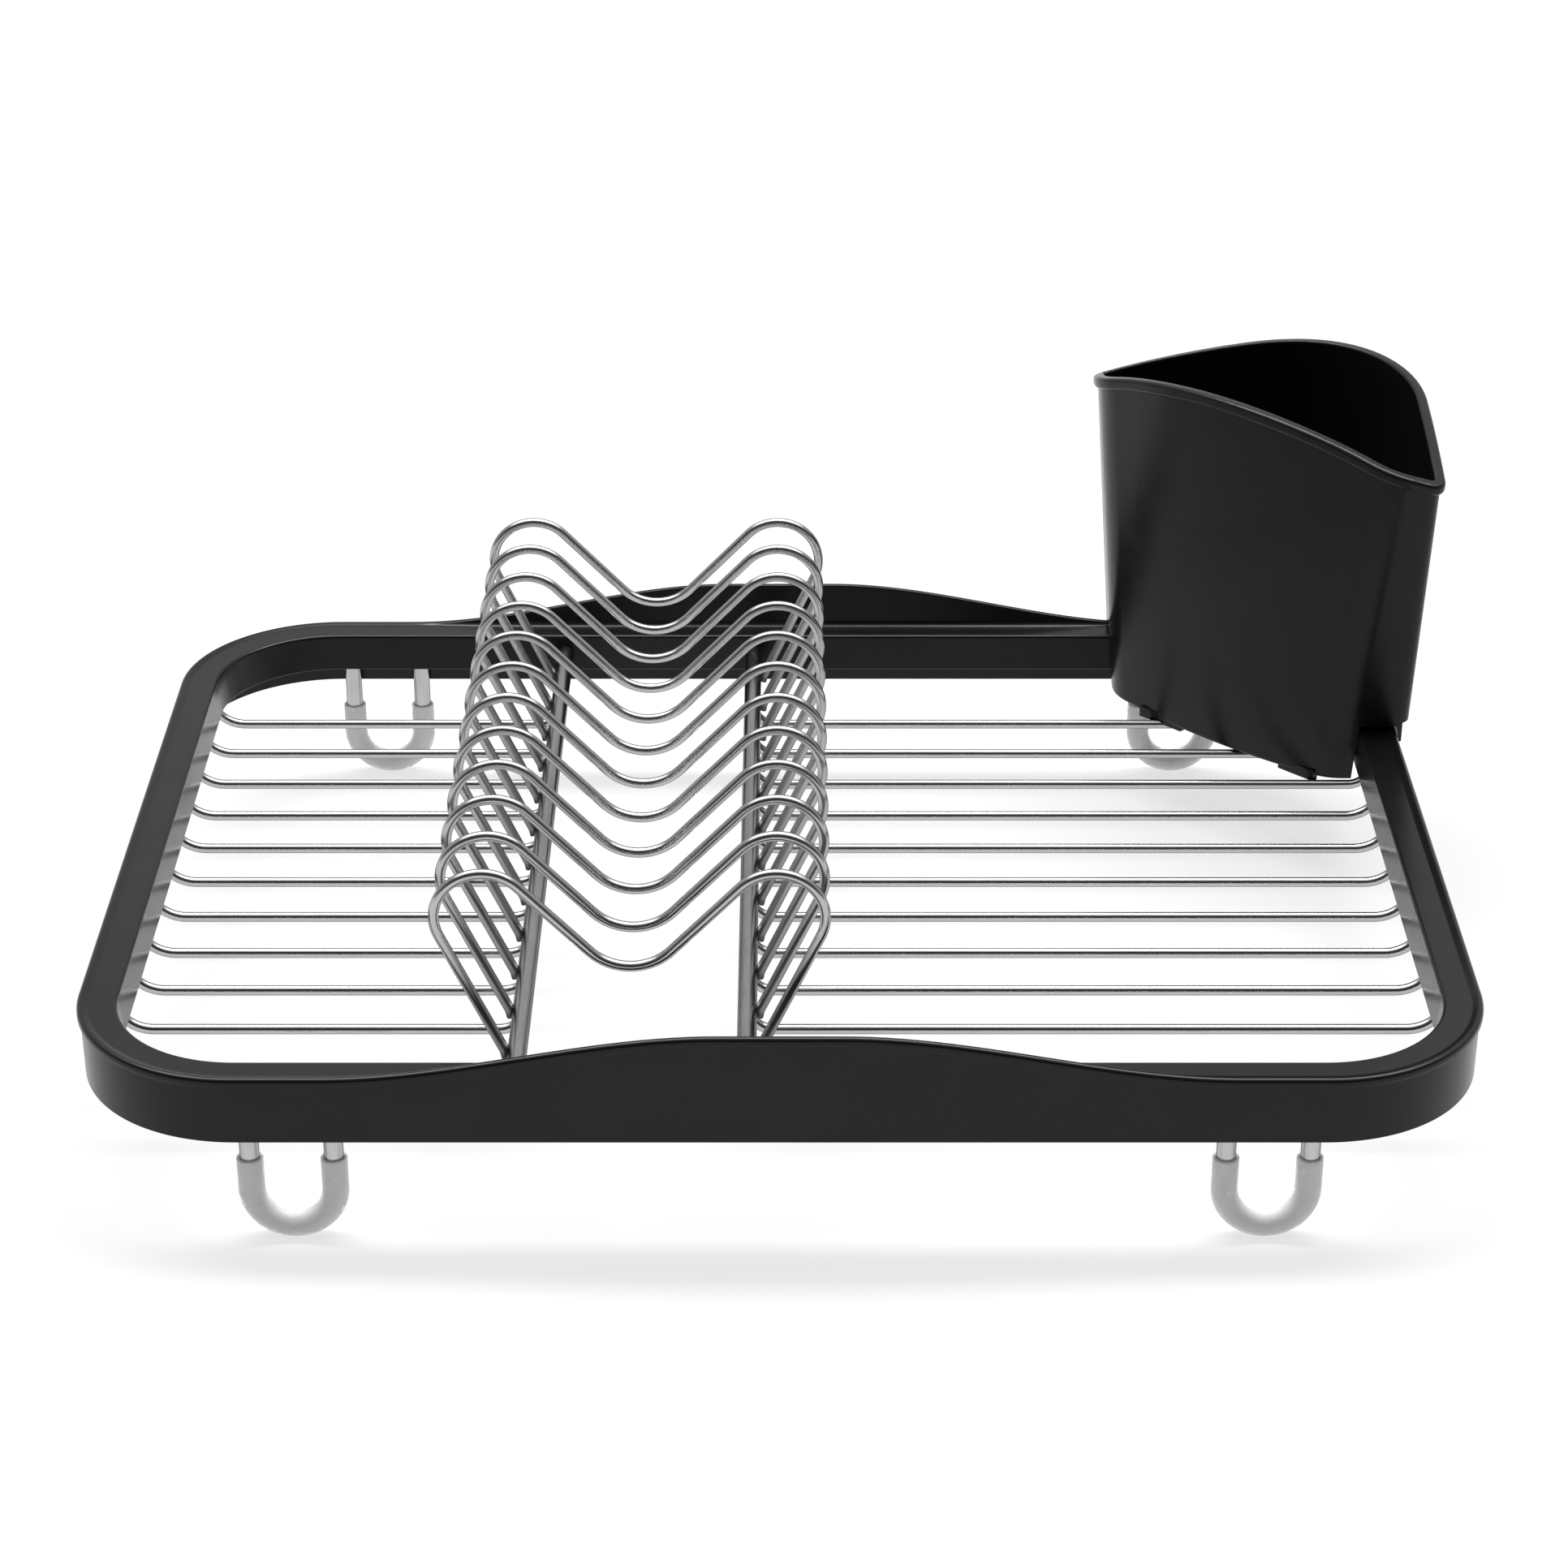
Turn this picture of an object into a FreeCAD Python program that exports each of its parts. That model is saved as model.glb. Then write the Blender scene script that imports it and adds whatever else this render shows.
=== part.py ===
import FreeCAD, Part
import math
import os

# Dish drying rack for beside a sink.  All sizes are in millimetres, +Z is up, the front faces -Y.
# The pieces are laid out about the centre of the rim frame on the floor, and moved at the end so that
# the origin is the bottom centre of the whole object's bounding box.

Vector = FreeCAD.Vector
UP = Vector(0, 0, 1)

# Rim frame: a moulded channel, open underneath, that hides the wire ends
FRAME_HALF_X = 179.0
FRAME_HALF_Y = 138.0
FRAME_CORNER_R = 44.0
RIM_TOP_Z = 48.6
OUTER_WALL_FOOT_Z = 29.6
INNER_WALL_FOOT_Z = 36.8
BEAD_HEIGHT = 2.6
BEAD_OVERHANG = 0.8
BEAD_WIDTH = 2.4
BEAD_ROUND = 0.6
GROOVE_DEPTH = 0.5
OUTER_WALL = 2.0
OUTER_WALL_DRAFT = 0.2
CEILING_Z = 46.0
LEDGE_INNER_Z = 47.6
LEDGE_WIDTH = 10.2
LEDGE_ROUND = 0.9
INNER_WALL = 1.7
INNER_WALL_DRAFT = 1.2

# Wave-shaped lips on the front and back rails
WAVE_HEIGHT = 12.3
WAVE_HALF_LENGTH = 113.0
WAVE_RAMP = 97.0
WAVE_SINK = 0.3
LIP_THICKNESS = 2.0
LIP_LEAN = 0.095
LIP_POINTS = 16

# Snap ribs inside the channel, which grip the perimeter wire
RIB_THICKNESS = 2.0
RIB_FOOT_Z = 40.7
RIB_ROOT = 1.0
RIB_X = (-90.0, 40.0, 90.0)
RIB_Y = (-91.8, -30.6, 30.6, 91.8)

# Perimeter wire, hidden in the channel
RING_R = 2.0
RING_INSET = 5.9
RING_Z = 42.0

# Two support rods that cross the rack from front to back
ROD_R = 2.5
ROD_Z = 42.0
ROD_LEFT_X = -66.0
ROD_RIGHT_X = -8.4
ROD_HOLE_CLEARANCE = 0.15

# Thin wires: ten pairs of tray wires and twelve M-shaped plate wires, on one pitch
WIRE_R = 1.35
WIRE_PITCH = 20.4
TRAY_COUNT = 10
TRAY_FIRST_Y = -81.6
TRAY_Z = 30.0
TRAY_BEND_R = 7.0
WELD_DEPTH = 1.0

# Plate wires, each in an XZ plane and symmetric about the middle of the two rods
PLATE_COUNT = 12
PLATE_FIRST_Y = -112.2
PLATE_FOOT_X = 31.3
PLATE_FOOT_Z = 40.6
LOOP_X = 36.3
LOOP_Z = 79.5
LOOP_R = 12.2
VALLEY_R = 14.1
VALLEY_Z = 65.8

# Feet: U-shaped wires with a clear sleeve pushed over the bend
FOOT_X = 121.6
FOOT_WIRE_R = 2.5
FOOT_BEND_R = 10.5
SLEEVE_R = 3.4
SLEEVE_TOP_Z = 22.9
SOLE_FLAT = 0.15

# Cutlery caddy, which sits on the back right corner and lifts off.
# Its plan is symmetric about the corner's diagonal: two outer walls, two short end walls and a bowed
# diagonal front.  Distances are measured inwards from the frame's outer right and back edges, and the
# front is placed by the sum of the two.  Each pair is the value at the low and at the high section.
CADDY_FLOOR_Z = 31.8
CADDY_LOW_Z = 31.5
CADDY_HIGH_Z = 130.0
CADDY_OUTER = (-2.9, -6.9)
CADDY_END = (77.2, 84.0)
CADDY_FRONT_SUM = (102.6, 101.2)
CADDY_CORNER_R = (45.6, 46.5)
CADDY_TIP_R = (3.3, 3.7)
CADDY_SHOULDER_R = (16.0, 21.0)
CADDY_BOW_R = 200.0
CADDY_BOW_HALF_TURN = math.radians(10)
CADDY_WALL = 2.0
CADDY_FLOOR = 2.0
CADDY_FOOT_ROUND = 1.0
CADDY_LIP_ROUND = 0.8
CADDY_LOFT_TOP_Z = 150.0

# Rolled rim of the caddy, on a cylinder whose axis lies along the corner's diagonal
RIM_PEAK_Z = 139.7
RIM_ARCH_R = 164.0
RIM_HEIGHT = 3.7
RIM_PROUD = 1.3
RIM_OUTER_ROUND = 1.2
RIM_INNER_ROUND = 0.7
RIM_LOWEST_Z = 119.0
RIM_BAND_FOOT_Z = 98.7

# Groove under the caddy that straddles the rails
GROOVE_TOP_Z = 49.5
SKIRT_FOOT_Z = 44.5
SKIRT_GAP = 0.45
SKIRT_THICKNESS = 1.2
OUTER_WALL_LIP_Z = 50.3
PLUG_INSET_LOW = 12.2
PLUG_INSET_HIGH = 10.9

# Locating tabs and drain slots under the caddy.  A tab's span is measured along the front from the
# corner's diagonal, towards the left end.  Each tab is notched where it straddles a tray wire.
TAB_DROP = 1.2
TAB_THICKNESS = 2.0
TAB_SPANS = ((27.5, 11.5), (-24.6, -37.5))
TAB_WIRE_GAP = 0.45
SLOT_WIDTH = 3.0
SLOT_LENGTH = 22.0
SLOT_PITCH = 9.0
SLOT_COUNT = 3
SLOT_FIRST_SUM = 58.0

# The caddy's rim stands past the frame, which moves the centre of the bounding box
BOX_CENTRE_X = 4.2
BOX_CENTRE_Y = 3.53

# Larger than the rack in every direction, for blocks that only cut or clip
BEYOND = 720.0
# Two places closer than this are the same place
NEAR = 0.05


def between(pair, z):
    """Value at height z of a size that runs straight from the caddy's low to its high section."""
    share = (z - CADDY_LOW_Z) / (CADDY_HIGH_Z - CADDY_LOW_Z)
    return pair[0] + (pair[1] - pair[0]) * share


def line(start, end):
    return Part.LineSegment(start, end).toShape()


def rounded_polygon(corners, radii):
    """Closed wire through the corners, each rounded by a tangent arc of its own radius."""
    count = len(corners)
    arcs = []
    for i in range(count):
        corner = corners[i]
        back = corners[i - 1].sub(corner).normalize()
        ahead = corners[(i + 1) % count].sub(corner).normalize()
        half_angle = back.getAngle(ahead) / 2
        reach = radii[i] / math.tan(half_angle)
        bisector = back.add(ahead).normalize()
        centre = corner.add(bisector * (radii[i] / math.sin(half_angle)))
        middle = centre.sub(bisector * radii[i])
        arcs.append((corner.add(back * reach), middle, corner.add(ahead * reach)))
    edges = []
    for i in range(count):
        start, middle, end = arcs[i]
        edges.append(Part.Arc(start, middle, end).toShape())
        edges.append(line(end, arcs[(i + 1) % count][0]))
    return Part.Wire(edges)


def rounded_rectangle(inset, z):
    """Outline of the rim frame, moved inwards by inset, at height z."""
    half_x = FRAME_HALF_X - inset
    half_y = FRAME_HALF_Y - inset
    corners = [
        Vector(half_x, -half_y, z),
        Vector(half_x, half_y, z),
        Vector(-half_x, half_y, z),
        Vector(-half_x, -half_y, z),
    ]
    return rounded_polygon(corners, [FRAME_CORNER_R - inset] * 4)


def prism(wire, height):
    return Part.Face(wire).extrude(UP * height)


def sweep_around_frame(profile):
    """Carry a profile, drawn across the front rail at X = 0, once around the frame's outline."""
    straight_x = FRAME_HALF_X - FRAME_CORNER_R
    straight_y = FRAME_HALF_Y - FRAME_CORNER_R
    face = Part.Face(profile)
    pieces = []
    for turn, half_length, depth in (
        (0, straight_x, 0.0),
        (90, straight_y, FRAME_HALF_X - FRAME_HALF_Y),
        (180, straight_x, 0.0),
        (270, straight_y, FRAME_HALF_X - FRAME_HALF_Y),
    ):
        side = face.copy()
        side.translate(Vector(-half_length, -depth, 0))
        rail = side.extrude(Vector(2 * half_length, 0, 0))
        end = face.copy()
        end.translate(Vector(half_length, -depth, 0))
        pivot = Vector(half_length, FRAME_CORNER_R - FRAME_HALF_Y - depth, 0)
        corner = end.revolve(pivot, UP, 90)
        for piece in (rail, corner):
            piece.rotate(Vector(0, 0, 0), UP, turn)
            pieces.append(piece)
    return pieces[0].multiFuse(pieces[1:]).removeSplitter()


def channel_profile():
    """Cross-section of the rail, from the foot of the outer wall round to the inside of the channel."""
    def at(inset, z):
        return Vector(0, inset - FRAME_HALF_Y, z)

    bead_foot = RIM_TOP_Z - BEAD_HEIGHT
    wall_face = BEAD_OVERHANG
    ledge_end = LEDGE_WIDTH
    foot_inset = LEDGE_WIDTH + INNER_WALL_DRAFT
    round_mid = BEAD_ROUND * (1 - math.sqrt(0.5))
    ledge_mid = LEDGE_ROUND * (1 - math.sqrt(0.5))
    points = [
        at(wall_face + OUTER_WALL_DRAFT, OUTER_WALL_FOOT_Z),
        at(wall_face, bead_foot),
        at(0, bead_foot + BEAD_OVERHANG),
        at(0, RIM_TOP_Z - BEAD_ROUND),
        at(BEAD_ROUND, RIM_TOP_Z),
        at(BEAD_WIDTH, RIM_TOP_Z),
        at(BEAD_WIDTH + GROOVE_DEPTH, RIM_TOP_Z - GROOVE_DEPTH),
        at(ledge_end - LEDGE_ROUND, LEDGE_INNER_Z),
        at(ledge_end, LEDGE_INNER_Z - LEDGE_ROUND),
        at(foot_inset, INNER_WALL_FOOT_Z),
        at(foot_inset - INNER_WALL, INNER_WALL_FOOT_Z),
        at(ledge_end - INNER_WALL, CEILING_Z),
        at(wall_face + OUTER_WALL, CEILING_Z),
        at(wall_face + OUTER_WALL_DRAFT + OUTER_WALL, OUTER_WALL_FOOT_Z),
    ]
    arc_middles = {
        3: at(round_mid, RIM_TOP_Z - round_mid),
        7: at(ledge_end - ledge_mid, LEDGE_INNER_Z - ledge_mid),
    }
    edges = []
    for i, start in enumerate(points):
        end = points[(i + 1) % len(points)]
        if i in arc_middles:
            edges.append(Part.Arc(start, arc_middles[i], end).toShape())
        else:
            edges.append(line(start, end))
    return Part.Wire(edges)


def wave_height(x):
    """Height of the wave above the rim: a smooth step from just below it at each side to the middle."""
    rise = min(1.0, max(0.0, (WAVE_HALF_LENGTH - abs(x)) / WAVE_RAMP))
    return (WAVE_HEIGHT + WAVE_SINK) * rise * rise * (3 - 2 * rise) - WAVE_SINK


def wave_lip(side):
    """Raised lip on the outer edge of the front (side = -1) or back (side = 1) rail, leaning outwards."""
    foot_z = CEILING_Z + BEAD_OVERHANG

    def at(x, z):
        return Vector(x, side * (FRAME_HALF_Y + LIP_LEAN * (z - foot_z)), z)

    top = []
    for i in range(-LIP_POINTS, LIP_POINTS + 1):
        x = WAVE_HALF_LENGTH * i / LIP_POINTS
        top.append(at(x, RIM_TOP_Z + wave_height(x)))
    curve = Part.BSplineCurve()
    curve.interpolate(top)
    foot_left = at(-WAVE_HALF_LENGTH, foot_z)
    foot_right = at(WAVE_HALF_LENGTH, foot_z)
    edges = [
        curve.toShape(),
        line(top[-1], foot_right),
        line(foot_right, foot_left),
        line(foot_left, top[0]),
    ]
    return Part.Face(Part.Wire(edges)).extrude(Vector(0, -side * LIP_THICKNESS, 0))


def snap_ribs():
    """Thin webs across the channel, between its walls and under its ceiling."""
    inner = LEDGE_WIDTH + INNER_WALL_DRAFT / 2 - INNER_WALL / 2
    outer = BEAD_OVERHANG + OUTER_WALL / 2
    height = CEILING_Z + RIB_ROOT - RIB_FOOT_Z
    ribs = []
    for side in (-1, 1):
        for x in RIB_X:
            y = side * FRAME_HALF_Y - (outer if side > 0 else -inner)
            corner = Vector(x - RIB_THICKNESS / 2, y - (inner - outer), RIB_FOOT_Z)
            ribs.append(Part.makeBox(RIB_THICKNESS, inner - outer, height, corner))
        for y in RIB_Y:
            x = side * FRAME_HALF_X - (outer if side > 0 else -inner)
            corner = Vector(x - (inner - outer), y - RIB_THICKNESS / 2, RIB_FOOT_Z)
            ribs.append(Part.makeBox(inner - outer, RIB_THICKNESS, height, corner))
    return ribs


def ring_x(y):
    """Distance from the middle of the rack to the perimeter wire's axis, level with y."""
    radius = FRAME_CORNER_R - RING_INSET
    past = abs(y) - (FRAME_HALF_Y - FRAME_CORNER_R)
    if past <= 0:
        return FRAME_HALF_X - RING_INSET
    return FRAME_HALF_X - FRAME_CORNER_R + math.sqrt(radius * radius - past * past)


def perimeter_wire():
    def at(inset, z):
        return Vector(0, inset - FRAME_HALF_Y, z)

    circle = Part.Circle(at(RING_INSET, RING_Z), Vector(1, 0, 0), RING_R)
    return sweep_around_frame(Part.Wire([circle.toShape()]))


def rim_frame(ring):
    frame = sweep_around_frame(channel_profile())
    frame = frame.multiFuse([wave_lip(-1), wave_lip(1)] + snap_ribs())
    hole_r = ROD_R + ROD_HOLE_CLEARANCE
    reach = FRAME_HALF_Y - RING_INSET
    for x in (ROD_LEFT_X, ROD_RIGHT_X):
        start = Vector(x, -reach, ROD_Z)
        frame = frame.cut(Part.makeCylinder(hole_r, 2 * reach, start, Vector(0, 1, 0)))
    return frame.cut(ring).removeSplitter()


def support_rod(x, ring):
    reach = FRAME_HALF_Y - RING_INSET - RING_R + WELD_DEPTH
    rod = Part.makeCylinder(ROD_R, 2 * reach, Vector(x, -reach, ROD_Z), Vector(0, 1, 0))
    return rod.cut(ring)


def bent_wire(edges, radius):
    """Round wire along tangent runs and arcs that lie in one XZ plane."""
    path = Part.Wire(edges)
    start = path.OrderedVertexes[0].Point
    direction = path.OrderedEdges[0].tangentAt(path.OrderedEdges[0].FirstParameter)
    circle = Part.Wire([Part.Circle(start, direction, radius).toShape()])
    return path.makePipeShell([circle], True, False)


def tray_wire(inner_x, side, y, ring, rod):
    """Straight tray wire whose ends turn up to the support rod and to the perimeter wire."""
    outer_x = side * ring_x(y)
    bend = TRAY_BEND_R
    tilt = bend * (1 - math.sqrt(0.5))
    rod_end_z = ROD_Z - ROD_R + WELD_DEPTH
    ring_end_z = RING_Z - RING_R + WELD_DEPTH

    def at(x, z):
        return Vector(x, y, z)

    edges = [
        line(at(inner_x, rod_end_z), at(inner_x, TRAY_Z + bend)),
        Part.Arc(
            at(inner_x, TRAY_Z + bend),
            at(inner_x + side * tilt, TRAY_Z + tilt),
            at(inner_x + side * bend, TRAY_Z),
        ).toShape(),
        line(at(inner_x + side * bend, TRAY_Z), at(outer_x - side * bend, TRAY_Z)),
        Part.Arc(
            at(outer_x - side * bend, TRAY_Z),
            at(outer_x - side * tilt, TRAY_Z + tilt),
            at(outer_x, TRAY_Z + bend),
        ).toShape(),
        line(at(outer_x, TRAY_Z + bend), at(outer_x, ring_end_z)),
    ]
    return bent_wire(edges, WIRE_R).cut(ring).cut(rod)


def plate_wire_path(y):
    """M shape: a leaning leg, a loop, a slope down to the valley, and the same again mirrored."""
    middle_x = (ROD_LEFT_X + ROD_RIGHT_X) / 2
    valley_z = VALLEY_Z + VALLEY_R

    # Leg: the tangent from its foot to the outside of the loop
    foot_to_loop_x = LOOP_X - PLATE_FOOT_X
    foot_to_loop_z = LOOP_Z - PLATE_FOOT_Z
    foot_distance = math.hypot(foot_to_loop_x, foot_to_loop_z)
    leg_heading = math.atan2(foot_to_loop_z, foot_to_loop_x) - math.asin(LOOP_R / foot_distance)
    leg_normal = leg_heading - math.pi / 2

    # Slope: the inner tangent between the loop and the valley
    gap = math.hypot(LOOP_X, LOOP_Z - valley_z)
    slope_tilt = math.asin((LOOP_R + VALLEY_R) / gap) - math.atan2(LOOP_Z - valley_z, LOOP_X)
    slope_normal = math.pi / 2 + slope_tilt
    loop_top = (leg_normal + slope_normal) / 2

    def on_loop(angle):
        return LOOP_X + LOOP_R * math.cos(angle), LOOP_Z + LOOP_R * math.sin(angle)

    def on_valley(angle):
        return VALLEY_R * math.cos(angle), valley_z + VALLEY_R * math.sin(angle)

    right = [
        (PLATE_FOOT_X, PLATE_FOOT_Z),
        on_loop(leg_normal),
        on_loop(loop_top),
        on_loop(slope_normal),
        on_valley(slope_normal - math.pi),
    ]
    here = [Vector(middle_x + x, y, z) for x, z in right]
    there = [Vector(middle_x - x, y, z) for x, z in right]
    bottom = Vector(middle_x, y, VALLEY_Z)
    return [
        line(here[0], here[1]),
        Part.Arc(here[1], here[2], here[3]).toShape(),
        line(here[3], here[4]),
        Part.Arc(here[4], bottom, there[4]).toShape(),
        line(there[4], there[3]),
        Part.Arc(there[3], there[2], there[1]).toShape(),
        line(there[1], there[0]),
    ]


def foot_path(x, y, top_z):
    """U shape: down one leg, round the bend and up the other leg."""
    low_z = SLEEVE_R - SOLE_FLAT
    turn_z = low_z + FOOT_BEND_R
    left = x - FOOT_BEND_R
    right = x + FOOT_BEND_R
    return [
        line(Vector(left, y, top_z), Vector(left, y, turn_z)),
        Part.Arc(Vector(left, y, turn_z), Vector(x, y, low_z), Vector(right, y, turn_z)).toShape(),
        line(Vector(right, y, turn_z), Vector(right, y, top_z)),
    ]


def foot_wire(x, y, ring):
    return bent_wire(foot_path(x, y, RING_Z - RING_R + WELD_DEPTH), FOOT_WIRE_R).cut(ring)


def foot_sleeve(x, y, wire):
    tube = bent_wire(foot_path(x, y, SLEEVE_TOP_Z), SLEEVE_R)
    below = Part.makeBox(BEYOND, BEYOND, BEYOND, Vector(-BEYOND / 2, -BEYOND / 2, -BEYOND))
    return tube.cut(below).cut(wire)


def caddy_section(z, inset):
    """Plan outline of the caddy at height z, moved inwards by inset."""
    outer = between(CADDY_OUTER, z) + inset
    end = between(CADDY_END, z) - inset
    bow_r = CADDY_BOW_R - inset
    turn = CADDY_BOW_HALF_TURN
    front = between(CADDY_FRONT_SUM, z) - inset * math.sqrt(2)
    apex = front / 2 + bow_r * (1 / math.cos(turn) - 1) / math.sqrt(2)
    shoulder = apex - (end - apex) * math.tan(math.pi / 4 + turn)
    plan = [(outer, outer), (end, outer), (end, shoulder), (apex, apex), (shoulder, end), (outer, end)]
    tip_r = between(CADDY_TIP_R, z) - inset
    shoulder_r = between(CADDY_SHOULDER_R, z) - inset
    radii = [between(CADDY_CORNER_R, z) - inset, tip_r, shoulder_r, bow_r, shoulder_r, tip_r]
    corners = [Vector(FRAME_HALF_X - across, FRAME_HALF_Y - along, z) for across, along in plan]
    return rounded_polygon(corners, radii)


def caddy_loft(low_z, high_z, inset):
    return Part.makeLoft([caddy_section(low_z, inset), caddy_section(high_z, inset)], True, True)


def under_arch(peak_z):
    """Everything under a cylinder that lies along the corner's diagonal, with its top at peak_z."""
    diagonal = Vector(1, 1, 0).normalize()
    axis_point = Vector(FRAME_HALF_X, FRAME_HALF_Y, peak_z - RIM_ARCH_R).sub(diagonal * (BEYOND / 2))
    return Part.makeCylinder(RIM_ARCH_R, BEYOND, axis_point, diagonal)


def around_frame(inset, low_z, high_z):
    """Space outside the plug's outline, between two heights."""
    block = Part.makeBox(BEYOND, BEYOND, high_z - low_z, Vector(-BEYOND / 2, -BEYOND / 2, low_z))
    plug = Part.makeLoft(
        [
            rounded_rectangle(PLUG_INSET_LOW + inset, CADDY_LOW_Z - TAB_DROP),
            rounded_rectangle(PLUG_INSET_HIGH + inset, GROOVE_TOP_Z + inset),
        ],
        True,
        True,
    )
    return block.cut(plug)


def diagonal_box(across, length, front_sum, width, low_z, high_z):
    """Upright box whose long side runs along the caddy's front.

    across is its middle, measured from the corner's diagonal towards the left end.
    """
    box = Part.makeBox(length, width, high_z - low_z, Vector(-length / 2, 0, low_z))
    box.rotate(Vector(0, 0, 0), UP, 135)
    middle = front_sum / 2
    shift = across / math.sqrt(2)
    box.translate(Vector(FRAME_HALF_X - middle - shift, FRAME_HALF_Y - middle + shift, 0))
    return box


def rim_loops(band):
    """The band's upper and lower outlines, without the seams that run up its side."""
    loops = []
    for edge in band.Edges:
        run = edge.valueAt(edge.LastParameter).sub(edge.valueAt(edge.FirstParameter))
        if math.hypot(run.x, run.y) > RIM_HEIGHT:
            loops.append(edge)
    return loops


def mouth_edges(body):
    """Edges where the cavity meets the arched top of the rim."""
    edges = []
    for edge in body.Edges:
        middle = edge.valueAt((edge.FirstParameter + edge.LastParameter) / 2)
        if middle.z < RIM_LOWEST_Z:
            continue
        across = ((FRAME_HALF_X - middle.x) - (FRAME_HALF_Y - middle.y)) / math.sqrt(2)
        arch_z = RIM_PEAK_Z - RIM_ARCH_R + math.sqrt(RIM_ARCH_R ** 2 - across ** 2)
        gap = caddy_section(middle.z, CADDY_WALL).distToShape(Part.Vertex(middle))[0]
        if abs(middle.z - arch_z) < NEAR and gap < NEAR:
            edges.append(edge)
    return edges


def outline_edges(body, z):
    """Edges at height z that lie on the caddy's outline."""
    outline = caddy_section(z, 0)
    edges = []
    for edge in body.Edges:
        level = edge.BoundBox.ZLength < NEAR and abs(edge.BoundBox.ZMin - z) < NEAR
        middle = edge.valueAt((edge.FirstParameter + edge.LastParameter) / 2)
        if level and outline.distToShape(Part.Vertex(middle))[0] < NEAR:
            edges.append(edge)
    return edges


def cutlery_caddy():
    low_z = CADDY_FLOOR_Z
    body = caddy_loft(low_z, CADDY_LOFT_TOP_Z, 0).common(under_arch(RIM_PEAK_Z))
    band = caddy_loft(RIM_BAND_FOOT_Z, CADDY_LOFT_TOP_Z, -RIM_PROUD)
    band = band.common(under_arch(RIM_PEAK_Z)).cut(under_arch(RIM_PEAK_Z - RIM_HEIGHT))
    band = band.makeFillet(RIM_OUTER_ROUND, rim_loops(band))
    body = body.fuse(band)

    # The rails pass under the caddy, with a thin skirt outside them
    rails = prism(rounded_rectangle(-SKIRT_GAP, 0), GROOVE_TOP_Z)
    rails = rails.common(around_frame(0, 0, GROOVE_TOP_Z))
    body = body.cut(rails).cut(around_frame(0, 0, SKIRT_FOOT_Z))
    outside = around_frame(0, 0, OUTER_WALL_LIP_Z)
    outside = outside.cut(prism(rounded_rectangle(-SKIRT_GAP - SKIRT_THICKNESS, 0), OUTER_WALL_LIP_Z))
    body = body.cut(outside)
    body = body.makeFillet(CADDY_FOOT_ROUND, outline_edges(body, low_z))
    body = body.makeFillet(CADDY_LIP_ROUND, outline_edges(body, OUTER_WALL_LIP_Z))

    cavity = caddy_loft(low_z + CADDY_FLOOR, CADDY_LOFT_TOP_Z, CADDY_WALL)
    cavity = cavity.cut(around_frame(CADDY_WALL, 0, GROOVE_TOP_Z + CADDY_WALL))
    body = body.cut(cavity)
    body = body.makeFillet(RIM_INNER_ROUND, mouth_edges(body))

    for i in range(SLOT_COUNT):
        front_sum = SLOT_FIRST_SUM + i * SLOT_PITCH * math.sqrt(2)
        body = body.cut(diagonal_box(0, SLOT_LENGTH, front_sum, SLOT_WIDTH, 0, GROOVE_TOP_Z))

    for start, end in TAB_SPANS:
        across = (start + end) / 2
        length = abs(start - end)
        bow_drop = CADDY_BOW_R - math.sqrt(CADDY_BOW_R ** 2 - across ** 2)
        front_sum = between(CADDY_FRONT_SUM, low_z) - bow_drop * math.sqrt(2)
        tab_sum = front_sum - TAB_THICKNESS * math.sqrt(2)
        tab = diagonal_box(
            across, length, tab_sum, TAB_THICKNESS, low_z - TAB_DROP, low_z + CADDY_FLOOR
        )
        body = body.fuse(tab)
    for i in range(TRAY_COUNT):
        width = 2 * (WIRE_R + TAB_WIRE_GAP)
        corner = Vector(0, TRAY_FIRST_Y + i * WIRE_PITCH - width / 2, 0)
        body = body.cut(Part.makeBox(FRAME_HALF_X, width, low_z, corner))
    return body.removeSplitter()


def build_parts():
    """Every piece of the rack by name, laid out about the centre of the rim frame."""
    parts = {}
    ring = perimeter_wire()
    parts["perimeter_wire"] = ring
    parts["rim_frame"] = rim_frame(ring)
    rod_x = {"left": ROD_LEFT_X, "right": ROD_RIGHT_X}
    for name, x in rod_x.items():
        parts[f"support_rod_{name}"] = support_rod(x, ring)

    for name, side in (("left", -1), ("right", 1)):
        rod = parts[f"support_rod_{name}"]
        for i in range(TRAY_COUNT):
            y = TRAY_FIRST_Y + i * WIRE_PITCH
            wire = tray_wire(rod_x[name], side, y, ring, rod)
            parts[f"tray_wire_{name}_{i + 1:02d}"] = wire

    for i in range(PLATE_COUNT):
        y = PLATE_FIRST_Y + i * WIRE_PITCH
        wire = bent_wire(plate_wire_path(y), WIRE_R)
        wire = wire.cut(parts["support_rod_left"]).cut(parts["support_rod_right"])
        parts[f"plate_wire_{i + 1:02d}"] = wire

    foot_y = FRAME_HALF_Y - RING_INSET
    for end_name, y in (("front", -foot_y), ("back", foot_y)):
        for side_name, x in (("left", -FOOT_X), ("right", FOOT_X)):
            wire = foot_wire(x, y, ring)
            parts[f"foot_wire_{end_name}_{side_name}"] = wire
            parts[f"foot_sleeve_{end_name}_{side_name}"] = foot_sleeve(x, y, wire)

    parts["cutlery_caddy"] = cutlery_caddy()
    return parts


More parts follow.
